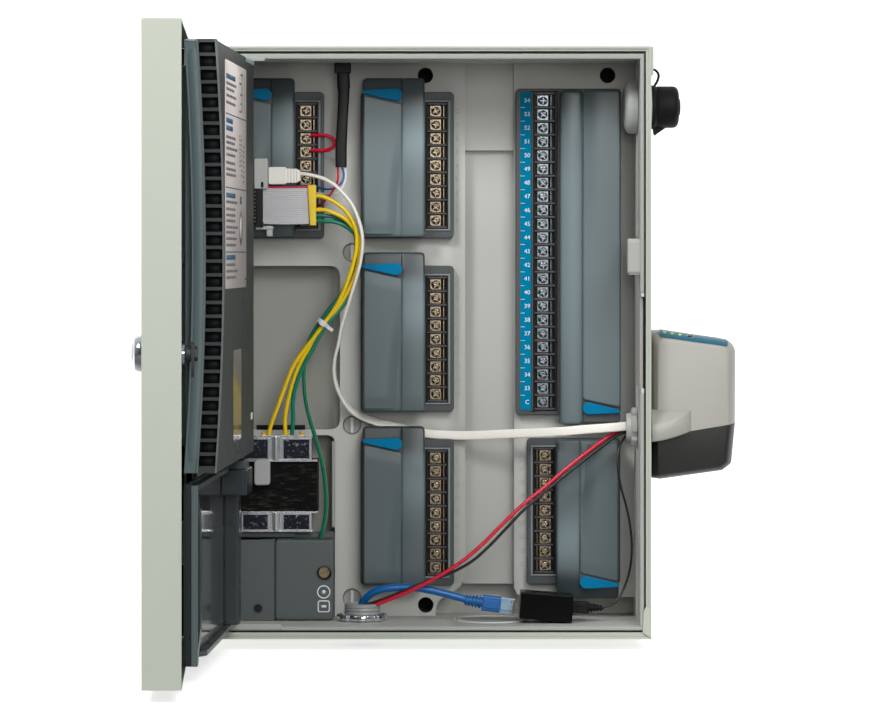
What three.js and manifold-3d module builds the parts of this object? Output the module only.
// Commercial irrigation controller in a wall-mounted steel cabinet, with its outer door and its
// inner swing frame both open. Units are millimetres. The origin is the centre of the cabinet's
// rear mounting face: +X right, +Y into the wall, +Z up. The front rim lies at Y = -160.
import * as THREE from "three";
import { mergeVertices } from "three/addons/utils/BufferGeometryUtils.js";
import Module from "manifold-3d";

const kernel = await Module();
kernel.setup();

const controller = new THREE.Group();
controller.name = "irrigation_controller";

// ---------------------------------------------------------------- driving dimensions
const HALF_WIDTH = 157.5; // of the cabinet and its door
const HALF_HEIGHT = 200;
const FRONT = -160; // front rim
const SHEET = 1.6; // steel thickness
const DOOR_FRONT = -184.6; // the closed door's outer face and rear edge
const DOOR_BACK = -160.8;
const DOOR_AXIS = [-150, -158]; // upright hinge line (X, Y)
const DOOR_OPEN = -87.85; // degrees
const FRAME_AXIS = [-143, -155.5]; // upright hinge line of the swing frame (X, Y)
const FRAME_OPEN = -92.55; // degrees
const LOCK = [141, 0]; // door lock (X, Z)
const TERMINAL_PITCH = 9.5;
const MODULE_STEP = 120.35; // from one module place to the next below it
const PORT = [-113, 160.7]; // accessory port through the right wall (Y, Z)
const GROMMET = [-113, -59]; // cable entry through the right wall (Y, Z)
const CONDUIT = [-38, -116]; // conduit entry through the floor (X, Y)

// ---------------------------------------------------------------- finishes
const PAINT = { color: 0xd6dbd2, metalness: 0.1, roughness: 0.6 }; // sage powder coat
const LINER = { color: 0xb4b5b1, roughness: 0.6 };
const DOCK = { color: 0x3c4042, roughness: 0.55 };
const TERMINAL = { color: 0x17181a, metalness: 0.1, roughness: 0.5 };
const MODULE = { color: 0x5c6a6c, roughness: 0.45 };
const LEVER = { color: 0x006ea0, roughness: 0.4 };
const STEEL = { color: 0xb9bcbe, metalness: 0.8, roughness: 0.4 };
const DARK = { color: 0x2e3436, roughness: 0.5 };
const FITTING = { color: 0xb9bab5, roughness: 0.5 };
const black = (roughness) => ({ color: 0x17181a, roughness });

// ---------------------------------------------------------------- solid helpers
// A span is a [from, to] pair along one axis.
const about = (centre, half) => [centre - half, centre + half];
const grid = (columns, rows) => columns.flatMap((x) => rows.map((z) => [x, z]));
const join = (...list) => list.flat().reduce((sum, body) => sum.add(body));
const cut = (body, ...list) => list.flat().reduce((rest, tool) => rest.subtract(tool), body);

function solid(geometry) {
  geometry.deleteAttribute("normal");
  geometry.deleteAttribute("uv");
  const merged = mergeVertices(geometry, 1e-4);
  return new kernel.Manifold(
    new kernel.Mesh({
      numProp: 3,
      vertProperties: new Float32Array(merged.attributes.position.array),
      triVerts: new Uint32Array(merged.index.array),
    }),
  );
}

function box(...spans) {
  const geometry = new THREE.BoxGeometry(...spans.map(([from, to]) => to - from));
  geometry.translate(...spans.map(([from, to]) => (from + to) / 2));
  return solid(geometry);
}

// A cylinder or cone along "x", "y" or "z"; centre is on the two other axes in
// alphabetical order, and endRadius is at the span's far end.
function rod(axis, centre, [from, to], radius, sides, endRadius = radius) {
  const geometry = new THREE.CylinderGeometry(endRadius, radius, to - from, sides);
  if (axis === "x") geometry.rotateZ(-Math.PI / 2);
  if (axis === "z") geometry.rotateX(Math.PI / 2);
  const place = [...centre];
  place.splice("xyz".indexOf(axis), 0, (from + to) / 2);
  geometry.translate(...place);
  return solid(geometry);
}

function extrude(outline, depth) {
  const shape = new THREE.Shape(outline.map((point) => new THREE.Vector2(...point)));
  return new THREE.ExtrudeGeometry(shape, { depth, bevelEnabled: false });
}

// An outline in X and Z, thick along Y.
function plateY(outline, [from, to]) {
  const geometry = extrude(outline, to - from);
  geometry.rotateX(Math.PI / 2);
  geometry.translate(0, to, 0);
  return solid(geometry);
}

// An outline in Y and Z, thick along X.
function plateX(outline, [from, to]) {
  const axes = [[0, 1, 0], [0, 0, 1], [1, 0, 0]].map((axis) => new THREE.Vector3(...axis));
  const geometry = extrude(outline, to - from);
  geometry.applyMatrix4(new THREE.Matrix4().makeBasis(...axes));
  geometry.translate(from, 0, 0);
  return solid(geometry);
}

function arc([across, up], radius, start, sweep, steps) {
  return Array.from({ length: steps + 1 }, (_, i) => {
    const angle = start + (sweep * i) / steps;
    return [across + radius * Math.cos(angle), up + radius * Math.sin(angle)];
  });
}

// Places evenly spaced round a full circle.
const ring = (centre, radius, count, start = 0) =>
  arc(centre, radius, start, 2 * Math.PI, count).slice(1);

// A rectangle with rounded corners.
function rounded([left, right], [low, high], radius, steps = 3) {
  const centres = [
    [right - radius, high - radius],
    [left + radius, high - radius],
    [left + radius, low + radius],
    [right - radius, low + radius],
  ];
  const quarter = Math.PI / 2;
  return centres.flatMap((centre, i) => arc(centre, radius, i * quarter, quarter, steps));
}

// The outline round a large and a small circle.
function teardrop(large, largeRadius, small, smallRadius) {
  const across = small[0] - large[0];
  const up = small[1] - large[1];
  const base = Math.atan2(up, across);
  const lean = Math.acos((largeRadius - smallRadius) / Math.hypot(across, up));
  return [
    ...arc(large, largeRadius, base + lean, 2 * Math.PI - 2 * lean, 8),
    ...arc(small, smallRadius, base - lean, 2 * lean, 3),
  ];
}

// A closed skin through rings of points, capped at both ends.
function loft(rings) {
  const count = rings[0].length;
  const last = (rings.length - 1) * count;
  const index = [];
  for (let start = 0; start < last; start += count)
    for (let i = 0; i < count; i++) {
      const here = start + i;
      const next = start + ((i + 1) % count);
      index.push(here, next, next + count, here, next + count, here + count);
    }
  for (let i = 1; i + 1 < count; i++) {
    index.push(0, i + 1, i);
    index.push(last, last + i, last + i + 1);
  }
  const geometry = new THREE.BufferGeometry();
  geometry.setAttribute("position", new THREE.Float32BufferAttribute(rings.flat(2), 3));
  geometry.setIndex(index);
  return solid(geometry);
}

// A cable along a smooth path. widthAxis(t) gives the direction of its width; without it
// the direction is carried along from ring to ring.
function cable(path, { width, thick, sides, steps, widthAxis }) {
  const points = path.map((point) => new THREE.Vector3(...point));
  const curve = new THREE.CatmullRomCurve3(points, false, "centripetal");
  const toCorner = sides === 4 ? Math.SQRT2 : 1; // a four-sided cable is sized across its flats
  const rings = [];
  let side = new THREE.Vector3(0, 1, 0);
  for (let k = 0; k <= steps; k++) {
    const centre = curve.getPointAt(k / steps);
    const along = curve.getTangentAt(k / steps);
    if (widthAxis) side = new THREE.Vector3(...widthAxis(k / steps));
    side.addScaledVector(along, -side.dot(along)).normalize();
    const up = along.clone().cross(side).normalize();
    const section = [];
    for (let i = 0; i < sides; i++) {
      const angle = (2 * Math.PI * (i + 0.5)) / sides;
      const point = centre
        .clone()
        .addScaledVector(side, (Math.cos(angle) * width * toCorner) / 2)
        .addScaledVector(up, (Math.sin(angle) * thick * toCorner) / 2);
      section.push(point.toArray());
    }
    rings.push(section);
  }
  return loft(rings);
}

// A group that turns about an upright hinge line; the pieces inside it are drawn closed.
function hinged([x, y], degrees) {
  const hinge = new THREE.Group();
  hinge.position.set(x, y, 0);
  hinge.rotation.z = THREE.MathUtils.degToRad(degrees);
  controller.add(hinge);
  const leaf = new THREE.Group();
  leaf.position.set(-x, -y, 0);
  hinge.add(leaf);
  return leaf;
}

function piece(name, body, finish, parent = controller) {
  const { vertProperties, triVerts } = body.getMesh();
  const indexed = new THREE.BufferGeometry();
  indexed.setAttribute("position", new THREE.BufferAttribute(vertProperties, 3));
  indexed.setIndex(new THREE.BufferAttribute(triVerts, 1));
  const flat = indexed.toNonIndexed();
  flat.computeVertexNormals();
  const mesh = new THREE.Mesh(flat, new THREE.MeshStandardMaterial(finish));
  mesh.name = name;
  parent.add(mesh);
}

// ---------------------------------------------------------------- cabinet
const HINGE_LUGS = [[150.2, 165], [104, 119.8], [-119.8, -104], [-165, -150.2]]; // Z spans
const DOOR_KNUCKLES = [[120.2, 149.8], [-149.8, -120.2]]; // Z spans
const KNUCKLE_RADIUS = 2.6;

const hingeBore = () => rod("z", DOOR_AXIS, [-170, 170], 1.7, 12);

// Cutters for the port, the grommet and the conduit.
const entryHoles = (wall, floor) => [
  rod("x", PORT, wall, 10.3, 24),
  rod("x", GROMMET, wall, 10.9, 24),
  rod("z", CONDUIT, floor, 11, 24),
];

function cabinetShell() {
  const width = about(0, HALF_WIDTH);
  const height = about(0, HALF_HEIGHT);
  const cavity = box(
    about(0, HALF_WIDTH - SHEET),
    [FRONT - 1, -SHEET],
    about(0, HALF_HEIGHT - SHEET),
  );
  // an inward flange 1 mm behind the front edge
  const flange = cut(
    box(width, [FRONT + 1, FRONT + 4], height),
    box(about(0, 153.9), [-161, -150], [-195.5, 196.8]),
  );
  const lugs = HINGE_LUGS.flatMap((lug) => [
    box([-155, -150], [-159.6, -156.4], lug),
    rod("z", DOOR_AXIS, lug, KNUCKLE_RADIUS, 12),
  ]);
  return cut(
    join(cut(box(width, [FRONT, 0], height), cavity), flange, lugs),
    hingeBore(),
    entryHoles([150, 160], [-202, -190]),
    // holes in the back
    grid([5.4, 132, -121], [184, -184]).map((place) => rod("y", place, [-5, 2], 3.5, 12)),
  );
}
piece("cabinet_shell", cabinetShell(), PAINT);

piece(
  "rim_gasket",
  cut(
    box(about(0, 153.7), [-159, -156.3], [-195.3, 196.6]),
    box(about(0, 153), [-162, -150], [-194.5, 195.3]),
    box([-160, -150], [-162, -150], [-190, 190]), // left side left open
  ),
  black(0.8),
);

piece(
  "hinge_rod",
  join(
    rod("z", DOOR_AXIS, about(0, 166.5), 1.5, 12),
    rod("z", DOOR_AXIS, [165.3, 167], 2.4, 12),
  ),
  { ...STEEL, roughness: 0.35 },
);

// ---------------------------------------------------------------- moulded chassis liner
// Raised land behind the left and middle modules, an outline in X and Z.
const LEFT_LAND = [
  [-150.8, 192.6], [-150.8, -191.6], [12.5, -191.6], [12.8, -185.5], [15, -181],
  [21, -176.5], [28.5, -172.5], [32, -167], [33, -160], [33, 192.6],
];
// The same behind the long module on the right.
const RIGHT_LAND = [
  [150.8, 192.6], [67, 192.6], [67, -172], [69, -176.5], [73, -178.5], [150.8, -178.5],
];
const LAND_DEPTH = [-82, -59];

function chassisLiner() {
  const tray = cut(
    box(about(0, 152.8), [-158.3, -57.5], [-194.3, 195.1]),
    box(about(0, 150.7), [-160, -60], [-191.5, 192.5]),
  );
  const leftLand = cut(
    plateY(LEFT_LAND, LAND_DEPTH),
    plateY(rounded([-151, -54], [-62, 51.6], 6), [-90, -66]),
    plateY(rounded([-151, -57.4], [-200, -66], 5), [-90, -62]),
  );
  // standoffs to the cabinet's back
  const standoffs = grid([-135, 50], [150, -150]).map((place) =>
    rod("y", place, [-58, -2], 6, 12),
  );
  return cut(
    join(
      tray,
      leftLand,
      plateY(RIGHT_LAND, LAND_DEPTH),
      // floor between the lands, higher at the top
      box([32, 68], [-77, -59], [132, 192.6]),
      box([32, 68], [-72, -59], [-170, 132.1]),
      // striker for the swing frame's latch, on the right wall
      box([142.8, 151], [-157, -149], [46, 70]),
      box([147.8, 151], [-149.5, -120], [48, 68]),
      standoffs,
    ),
    // hinge side cut back clear of the door's knuckles
    box([-153.5, -146.5], [-160, -150], [-196, 196]),
    // lock cam clearance in the right rim
    box([150, 153.5], [-160, -146], [-31, 31]),
    // pin holes for the swing frame
    rod("z", FRAME_AXIS, [188, 198], 1.8, 12),
    rod("z", FRAME_AXIS, [-198, -188], 1.8, 12),
    entryHoles([149, 154], [-197, -189]),
    [[5.4, 184], [132, 184], [5.6, -184]].map((place) => rod("y", place, [-90, -50], 5.5, 16)),
  );
}
piece("chassis_liner", chassisLiner(), LINER);

// ---------------------------------------------------------------- outer door
const door = hinged(DOOR_AXIS, DOOR_OPEN);

function doorShell() {
  const pan = cut(
    box(about(0, HALF_WIDTH), [DOOR_FRONT, DOOR_BACK], about(0, HALF_HEIGHT)),
    box(about(0, HALF_WIDTH - SHEET), [DOOR_FRONT + SHEET, -150], about(0, HALF_HEIGHT - SHEET)),
    // the hinge side is shorter so that it clears the rim
    box([-158, -147.3], [-170, -150], [-201, 201]),
    box([-158, -140], [-164.5, -150], [-201, 201]),
  );
  const returnLip = box([152.5, 156.5], [-162.4, DOOR_BACK], about(0, 196)); // free side
  const knuckles = DOOR_KNUCKLES.flatMap((height) => [
    rod("z", DOOR_AXIS, height, KNUCKLE_RADIUS, 12),
    box([-149.9, -144.8], [-160.4, -158.2], height),
    box([-146.8, -144.8], [-184, -158.2], height),
  ]);
  return cut(
    join(pan, returnLip, knuckles),
    hingeBore(),
    rod("y", LOCK, [-190, -180], 7.8, 24),
  );
}
piece("door_shell", doorShell(), PAINT, door);

piece(
  "lock_body",
  join(
    rod("y", LOCK, [-188, -184.9], 11, 28),
    rod("y", LOCK, [-190.6, -188], 7, 28, 11),
    rod("y", LOCK, [-186, -159], 7.4, 24),
    rod("y", LOCK, [-182.6, -178.6], 10.5, 6),
  ),
  { color: 0xd5d7d9, metalness: 0.9, roughness: 0.2 },
  door,
);

// Cam outline in X and Z.
const LOCK_CAM = [
  [135.5, 5], [135.5, -8], [138, -14], [144, -14],
  [146.5, -8], [146.5, 5], [144, 7], [138, 7],
];
piece(
  "lock_cam",
  join(
    plateY(LOCK_CAM, [-155.3, -153.5]),
    rod("y", LOCK, [-158.7, -155], 5, 12),
    rod("y", LOCK, [-153.6, -151.4], 4.6, 6),
  ),
  STEEL,
  door,
);

// ---------------------------------------------------------------- inner swing frame
const frame = hinged(FRAME_AXIS, FRAME_OPEN);
const FRAME_LOW = -190.4;
const FRAME_HIGH = 190;
const FRAME_LEFT = -141;
const FRAME_RIGHT = 125.4;
const FRAME_FACE = -142.7; // front face of both panels

function swingFrame() {
  const bar = [FRAME_LEFT, -131.5];
  // hinge ends: the Z span of each barrel, and of the pin that reaches past it
  const ends = [
    { barrel: [FRAME_LOW, -182], pin: [-194, -188] },
    { barrel: [182, FRAME_HIGH], pin: [188, 194.6] },
  ];
  return join(
    box(bar, [-156.5, -146], [FRAME_LOW, FRAME_HIGH]),
    box(bar, [-147, -135], [FRAME_LOW, -80]),
    // lower panel
    plateY(rounded([FRAME_LEFT, FRAME_RIGHT], [FRAME_LOW, -80], 3, 2), [FRAME_FACE, -140.4]),
    ends.flatMap(({ barrel, pin }) => [
      rod("z", FRAME_AXIS, barrel, 3, 12),
      box([-143, -138], [-157, -153], barrel),
      rod("z", FRAME_AXIS, pin, 1.5, 12),
    ]),
    // back ribs of the lower panel and the cable duct beside the hinge
    box([116, FRAME_RIGHT], [-141, -135], [-188, -82]),
    box([-126, -108], [-141, -131], [-187, -85]),
    box([-131.6, 116.5], [-141, -135], [-84, -81]),
    box([-131.6, 60], [-141, -135.2], [-190, -187.4]),
  );
}
piece("swing_frame", swingFrame(), { color: 0x4d5a5d, roughness: 0.5 }, frame);

// ---------------------------------------------------------------- facepack on the swing frame
const PACK_LOW = -73;
const PACK_HIGH = 190;
const BOW = 4.8; // how far the free side bows towards +Y at mid height
const BOW_STEPS = 12;
const DIAL = [58, 8]; // X, Z
const KEYS_X = [-85, -55, -25, 5];
const KEYS_Z = 42;

function bow(z) {
  const middle = (PACK_LOW + PACK_HIGH) / 2;
  const half = (PACK_HIGH - PACK_LOW) / 2;
  return BOW * (1 - ((z - middle) / half) ** 2);
}

// A full-height strip in Y and Z with the bow added to both edges.
function bowed(front, back) {
  const edge = (y) =>
    Array.from({ length: BOW_STEPS + 1 }, (_, i) => {
      const z = PACK_LOW + ((PACK_HIGH - PACK_LOW) * i) / BOW_STEPS;
      return [y + bow(z), z];
    });
  return [...edge(front), ...edge(back).reverse()];
}

function facepackRear() {
  const slotCount = 31;
  const slotPitch = 8.35;
  const slotHeight = 6.3;
  const slots = [];
  for (let i = 0; i < slotCount; i++) {
    const z = PACK_LOW + 4.2 + i * slotPitch;
    const shift = bow(z + 3.2);
    slots.push(box([121.5, 126], [-134.3 + shift, -124.1 + shift], [z, z + slotHeight]));
  }
  return cut(
    join(
      box([FRAME_LEFT, 116], [-133, -123.2], [PACK_LOW, 189.4]),
      plateX(bowed(-133, -123.2), [115.6, FRAME_RIGHT]),
      plateX(bowed(-135.4, -132.8), [117, FRAME_RIGHT]),
    ),
    box([-138.5, 112], [-134, -125.2], [PACK_LOW + 2.5, 187]), // hollow, open to the front
    slots,
  );
}
piece("facepack_rear_shell", facepackRear(), { ...MODULE, roughness: 0.5 }, frame);

function facepackFront() {
  return cut(
    join(
      box([-131, 116.5], [FRAME_FACE, -133.3], [PACK_LOW, PACK_HIGH]),
      plateX(bowed(FRAME_FACE, -135.8), [116.3, FRAME_RIGHT]),
      plateY(rounded([-118, 96], [-58, 176], 8), [-150, -142]),
    ),
    // hollow behind the panel
    box([-124, 108], [-139.7, -132], [PACK_LOW + 6, PACK_HIGH - 8]),
    // display window and the recess for its lens
    plateY(rounded([-100, 40], [62, 150], 3, 2), [-148, -138]),
    plateY(rounded([-103, 43], [59, 153], 4, 2), [-152, -148]),
    rod("y", DIAL, [-152, -130], 4.3, 16),
    KEYS_X.map((x) =>
      plateY(rounded(about(x, 9.6), about(KEYS_Z, 5.6), 3, 2), [-152, -130]),
    ),
  );
}
piece("facepack_front_panel", facepackFront(), { color: 0x66777b, roughness: 0.45 }, frame);

piece(
  "display_lens",
  plateY(rounded([-102.6, 42.6], [59.4, 152.6], 3.6, 2), [-149.6, -148.2]),
  { color: 0x2b3a36, roughness: 0.1 },
  frame,
);

piece(
  "facepack_board",
  join(
    box([-116, 104], [-131.2, -129.6], [-62, 178]),
    box([-99, 39], [-137.5, -131], [63, 149]), // block behind the display
    box([-60, -20], [-129.8, -126.5], [-40, 0]),
  ),
  { color: 0x1f5a3a, roughness: 0.6 },
  frame,
);

piece(
  "dial_knob",
  join(
    rod("y", DIAL, [-158, -150.4], 24, 32, 25),
    rod("y", DIAL, [-161.5, -157.8], 15, 24, 17),
    rod("y", DIAL, [-151, -136.5], 3.8, 12), // shaft
    box(about(DIAL[0], 1.2), [-162.3, -160], [12, 21]), // pointer
  ),
  DARK,
  frame,
);

KEYS_X.forEach((x, i) =>
  piece(
    `soft_key_${i + 1}`,
    join(
      plateY(rounded(about(x, 9), about(KEYS_Z, 5), 2.6, 2), [-152.4, -140.6]),
      box(about(x, 2), [-140.8, -136.5], about(KEYS_Z, 2)),
    ),
    { ...DARK, roughness: 0.6 },
    frame,
  ),
);

piece(
  "frame_latch",
  join(
    plateY(rounded([104, 139.5], [54, 62], 2, 2), [-147.4, -143.1]),
    box([105, 112], [-152, -147], [53, 63]),
  ),
  DARK,
  frame,
);

// ---------------------------------------------------------------- plug-in modules and their docks
const DOCK_DEPTH = [-89, -82.3];
const DOCK_SLOT_DEPTH = [-95, -80];
const MODULE_BACK = -89.3;

// A comb of barriers with one screw clamp in each bay; zTop is the top clamp's height.
function terminals([left, right], zTop, count) {
  const back = -82.5;
  const crest = -89.4;
  const bayFloor = -85;
  const bayHalf = 4.1;
  const endMargin = 5.9; // beyond the first and last clamps
  const heights = Array.from({ length: count }, (_, i) => zTop - TERMINAL_PITCH * i);
  const low = heights[count - 1] - endMargin;
  const high = zTop + endMargin;
  const bays = heights.toReversed().flatMap((z) => [
    [crest, z - bayHalf],
    [bayFloor, z - bayHalf],
    [bayFloor, z + bayHalf],
    [crest, z + bayHalf],
  ]);
  const comb = [[back, low], [crest, low], ...bays, [crest, high], [back, high]];
  const screwX = (left + right) / 2 - 0.6;
  return join(
    plateX(comb, [left, right]),
    heights.map((z) => rod("y", [screwX, z], [-88, -84.9], 3.3, 6)),
  );
}

// Short modules are drawn in the upper middle place (X, Z), then moved or turned half round.
const TURN_SUM = [100.9, 3.2]; // twice the centre of the half turn
const SHORT_TERMINALS = { left: 5.9, width: 16.3, zTop: 159.1, count: 9 };
const SHORT_SLOT = [[5.5, 76.9], [22.6, 76.9], [22.6, 165.5], [5.5, 165.5]];
const SHORT_RAISED = [
  [-37.2, 168.7], [-37.2, 74.4], [-36, 73.2], [-12.2, 73.2],
  [-11, 74.4], [-11, 162.4], [-12.4, 164.2], [-35.8, 169.6],
];

function shortModule({ tag, shiftX = 0, shiftZ = 0, turned = false }) {
  const place = (outline) =>
    outline.map(([x, z]) =>
      turned ? [TURN_SUM[0] - x, TURN_SUM[1] - z] : [x + shiftX, z + shiftZ],
    );
  piece(
    `module_dock_${tag}`,
    cut(
      plateY(place(rounded([-39.5, 25.2], [70.8, 172.2], 3)), DOCK_DEPTH),
      plateY(place(SHORT_SLOT), DOCK_SLOT_DEPTH),
    ),
    DOCK,
  );
  // the half turn swaps the block's left and right edges, and its top and bottom clamps
  const { left, width, zTop, count } = SHORT_TERMINALS;
  const corner = turned ? [left + width, zTop - TERMINAL_PITCH * (count - 1)] : [left, zTop];
  const [[x, z]] = place([corner]);
  piece(`terminal_block_${tag}`, terminals([x, x + width], z, count), TERMINAL);
  piece(
    `module_body_${tag}`,
    join(
      plateY(place(rounded([-37.9, 4.9], [71.6, 181.4], 2.6)), [-102, MODULE_BACK]),
      plateY(place(SHORT_RAISED), [-104.8, -101.9]),
    ),
    MODULE,
  );
  piece(
    `module_lever_${tag}`,
    plateY(place(teardrop([-14.9, 169.7], 4.2, [-36.9, 171.6], 1.2)), [-105.6, -102.3]),
    LEVER,
  );
}

[
  { tag: "a", shiftX: -90 },
  { tag: "b" },
  { tag: "c", shiftZ: -MODULE_STEP },
  { tag: "d", shiftZ: -2 * MODULE_STEP },
  { tag: "e", turned: true },
].forEach(shortModule);

// The long expansion module on the right.
const LONG_RAISED = [
  [113, -40.4], [137.6, -45.6], [139.6, -43.8], [139.6, 171.6], [138, 173.2], [113, 173.2],
];
piece(
  "module_dock_f",
  cut(
    plateY(rounded([67.9, 140.8], [-51.7, 174.5], 2.5, 2), DOCK_DEPTH),
    box([79.6, 96.8], DOCK_SLOT_DEPTH, [-49.1, 172.5]),
  ),
  DOCK,
);
piece("terminal_block_f", terminals([80, 96.4], 166.2, 23), TERMINAL);
piece(
  "module_body_f",
  join(
    plateY(rounded([98.4, 113.4], [-58, 173.4], 2.6), [-104.8, MODULE_BACK]),
    plateY(rounded([112, 139.6], [-56.3, 173.4], 2.6), [-100.5, MODULE_BACK]),
    plateY(LONG_RAISED, [-103.6, -100.4]),
  ),
  MODULE,
);
piece(
  "module_lever_f",
  plateY(teardrop([117.8, -46.6], 4.1, [138.6, -48.8], 1.2), [-104.3, -100.9]),
  LEVER,
);

// ---------------------------------------------------------------- power supply corner
piece(
  "transformer_core",
  join(
    box([-125.7, -68.7], [-101, -73], [-117.5, -82.3]),
    box([-118, -76.4], [-103, -71], [-127.5, -72.5]),
  ),
  { color: 0x33363a, metalness: 0.4, roughness: 0.5 },
);

// A front plate on four legs.
const BRACKET_LEGS_X = [[-121.6, -119], [-75.4, -72.8]];
const BRACKET_LEGS_Z = [[-131.2, -128], [-71.8, -68.6]];
piece(
  "transformer_bracket",
  join(
    box([-121.6, -72.8], [-106, -103.3], [-131.2, -65.6]),
    grid(BRACKET_LEGS_X, BRACKET_LEGS_Z).map(([spanX, spanZ]) =>
      box(spanX, [-104, -62.3], spanZ),
    ),
  ),
  STEEL,
);

const MAINS_LEFT = -149.8;
const MAINS_RIGHT = -57.7;
const MAINS_HEIGHT = [-191.1, -136];
piece(
  "mains_box",
  cut(
    join(
      box([MAINS_LEFT, MAINS_RIGHT], [-100, -62.4], MAINS_HEIGHT),
      box([MAINS_LEFT, -98.1], [-118.5, -99], MAINS_HEIGHT),
      box([MAINS_LEFT, MAINS_RIGHT], [-100, -97.6], [-136.1, -131.8]),
    ),
    rod("y", [-109.5, -183], [-120, -110], 2.8, 12),
  ),
  LINER,
);
piece(
  "mains_box_cover",
  cut(
    plateY(rounded([-97.6, MAINS_RIGHT], MAINS_HEIGHT, 1.5, 2), [-119.6, -100.3]),
    rod("y", [-64.2, -159], [-121, -112], 5, 16),
  ),
  LINER,
);

piece(
  "conduit_bushing",
  cut(
    join(
      rod("z", CONDUIT, [-203.2, -180.4], 10.6, 24),
      rod("z", CONDUIT, [-202.7, -200.3], 15, 6),
      rod("z", CONDUIT, [-186.2, -180.4], 12.2, 24),
    ),
    rod("z", CONDUIT, [-210, -170], 8.4, 20),
  ),
  { color: 0x8d8f8c, metalness: 0.2, roughness: 0.5 },
);

// A castellated nut on the liner's floor.
piece(
  "conduit_locknut",
  cut(
    rod("z", CONDUIT, [-191.2, -186.6], 17.4, 24),
    rod("z", CONDUIT, [-195, -180], 11.1, 24),
    ring(CONDUIT, 17.6, 8).map((place) => rod("z", place, [-189.2, -185], 2.6, 6)),
  ),
  { color: 0xc9cbcd, metalness: 0.9, roughness: 0.25 },
);

// ---------------------------------------------------------------- wiring, paths in X, Y, Z
// Ribbon with its two connectors, across the upper left module.
piece(
  "ribbon_cable",
  join(
    box([-106.5, -74], [-118, -116.7], [80.6, 106]),
    box([-75, -69.6], [-120.5, -112.5], [79.6, 107]),
    box([-111.5, -105.8], [-121, -113.5], [79, 108]),
  ),
  { color: 0xc9c9cb, roughness: 0.5 },
);

const POWER_PATH = [
  [-69, -113, 94], [-58, -112.6, 90.5], [-47.5, -112.4, 79], [-43, -112.4, 65],
  [-46.6, -112.4, 45], [-55, -112.4, 28], [-66, -112.4, 12], [-77, -112, -6],
  [-88, -111, -27], [-96, -109, -52], [-97, -107.8, -64],
];
piece(
  "power_harness",
  cable(POWER_PATH, { width: 5, thick: 4.4, sides: 8, steps: 26, widthAxis: () => [0, 1, 0] }),
  { color: 0xe0b000, roughness: 0.5 },
);

// Down past the modules, behind the lowest middle one and out through the grommet.
const FLAT_PATH = [
  [-81, -118.4, 114], [-70, -118.6, 112.5], [-58, -118.7, 107], [-44, -118.7, 88],
  [-39.4, -118.6, 70], [-43.6, -118.4, 42], [-51.5, -112, 10], [-56.5, -101, -18],
  [-54, -93, -41], [-46.5, -89, -52], [-34, -86, -61.4], [-12, -85.8, -64.6],
  [12, -86.4, -65.2], [38, -95, -65], [62, -110, -64.4], [90, -119.4, -62.8],
  [120, -119.2, -59.6], [136, -116.6, -57.8], [143, -115.4, -57.4], [156, -115, -57.4],
];
// The width turns from Z to Y near the start, and back to Z before half way.
function flatWidthAxis(t) {
  const ramp = (start) => THREE.MathUtils.clamp((t - start) / 0.1, 0, 1);
  const y = ramp(0.06) - ramp(0.4);
  return [0, y, 1 - y];
}
piece(
  "flat_cable",
  cable(FLAT_PATH, { width: 5.4, thick: 2.4, sides: 4, steps: 54, widthAxis: flatWidthAxis }),
  { color: 0xd8d6cc, roughness: 0.5 },
);

// Up through the conduit to a plug.
const PATCH_PATH = [
  [-38.5, -111.4, -200], [-38.5, -111.4, -184], [-37.4, -112, -179], [-32, -115, -173],
  [-25, -117, -169.8], [-12, -117.4, -168.6], [2, -117.4, -169.4], [16, -117.4, -172],
  [37, -117.4, -178],
];
piece(
  "patch_cable",
  join(
    cable(PATCH_PATH, { width: 5, thick: 5, sides: 8, steps: 20 }),
    rod("x", [-117.4, -178], [33, 46], 3.4, 10, 4.2),
    box([45, 66], [-122, -113], [-183.8, -173.6]),
  ),
  { color: 0x1560b4, roughness: 0.4 },
);

// A small in-line coupler on the liner's floor, leaning about Y.
function couplerBox() {
  const geometry = new THREE.BoxGeometry(36.3, 25.6, 18.4);
  geometry.rotateY(THREE.MathUtils.degToRad(4.5));
  geometry.translate(87.6, -127, -180.5);
  return solid(geometry);
}
piece("coupler_box", couplerBox(), black(0.25));

// Two supply wires side by side as one flattened cable, from the conduit to the grommet.
const WIRE_PATH = [
  [-36.6, -121, -198], [-36.4, -121, -180.6], [-33.6, -121.4, -177.4], [-26, -123, -175.6],
  [-12, -124.4, -173.4], [16, -124.4, -161.6], [32, -123.4, -151], [50, -121.4, -138],
  [98, -118.4, -95], [120, -116.4, -75.6], [133, -113.4, -64.9], [143, -110.8, -60.8],
  [155, -110.2, -60.8],
];
// The width lies along X in the conduit and turns to Z above it.
function wireWidthAxis(t) {
  if (t < 0.09) return [1, 0, 0];
  return t < 0.14 ? [0.7, 0, 0.7] : [0, 0, 1];
}
piece(
  "wire_pair",
  cable(WIRE_PATH, { width: 5, thick: 2.6, sides: 8, steps: 24, widthAxis: wireWidthAxis }),
  { color: 0xb01020, roughness: 0.4 },
);

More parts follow.
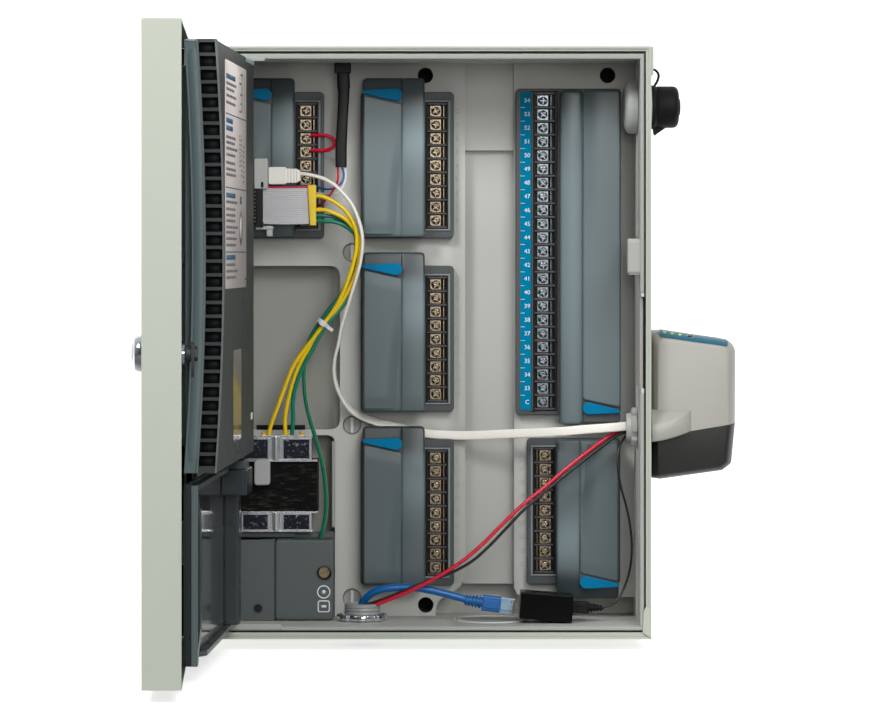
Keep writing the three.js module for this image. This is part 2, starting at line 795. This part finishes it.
const SENSOR_PATH = [
  [-52, -101, 191.9], [-52, -101, 172], [-52.4, -102, 140], [-52.8, -102, 119.6],
];
piece(
  "sensor_cable",
  cable(SENSOR_PATH, { width: 7.6, thick: 3.4, sides: 8, steps: 8, widthAxis: () => [1, 0, 0] }),
  black(0.4),
);

// ---------------------------------------------------------------- right wall fittings
piece(
  "grommet_nut",
  cut(
    join(
      rod("x", GROMMET, [146.4, 150.4], 13.4, 24),
      rod("x", GROMMET, [143, 147], 9.4, 24),
    ),
    rod("x", GROMMET, [140, 153], 7.6, 20),
    ring(GROMMET, 14, 6, 0.35).map((place) => rod("x", place, [144, 152], 2.6, 8)),
  ),
  FITTING,
);

piece(
  "port_socket",
  join(
    plateX(rounded(about(PORT[0], 13), about(PORT[1], 18.7), 12.6, 5), [143, 150.4]),
    plateX(rounded(about(PORT[0], 8), about(PORT[1], 10.7), 7.8, 4), [139.8, 143.5]),
    rod("x", PORT, [150, 163.4], 10, 24),
    rod("x", PORT, [157.8, 160.2], 14.6, 24),
  ),
  FITTING,
);

piece(
  "port_cap",
  cut(
    join(
      rod("x", PORT, [160.5, 163.5], 14.8, 24),
      rod("x", PORT, [163.4, 179.4], 12.6, 24, 11.6),
    ),
    rod("x", PORT, [159, 172], 10.3, 24),
  ),
  black(0.7),
);

// Corner cut from the radio base beside the wall, in X and Z.
const RADIO_CUTOUT = [[160, -40], [160, -70], [176, -66], [184, -54], [186, -40]];
piece(
  "radio_base",
  join(
    cut(
      plateX(rounded([-146, -64], [-93, -56], 5), [161, 211.5]),
      plateY(RADIO_CUTOUT, [-150, -121]),
    ),
    // hollow stem through the wall, with its nut
    cut(
      rod("x", GROMMET, [153.2, 172], 10.6, 24),
      rod("x", GROMMET, [150, 158], 8.2, 20),
    ),
    rod("x", GROMMET, [157.9, 161.2], 14.5, 6),
  ),
  { color: 0x343430, roughness: 0.5 },
);

piece(
  "radio_body",
  cut(
    plateX(rounded([-147, -63], [-55.6, 6], 6), [158.6, 212.4]),
    rod("x", GROMMET, [157, 161.6], 15.2, 24),
    rod("x", GROMMET, [157, 172.6], 11, 24),
  ),
  { color: 0xb2b1ab, roughness: 0.5 },
);

export default controller;
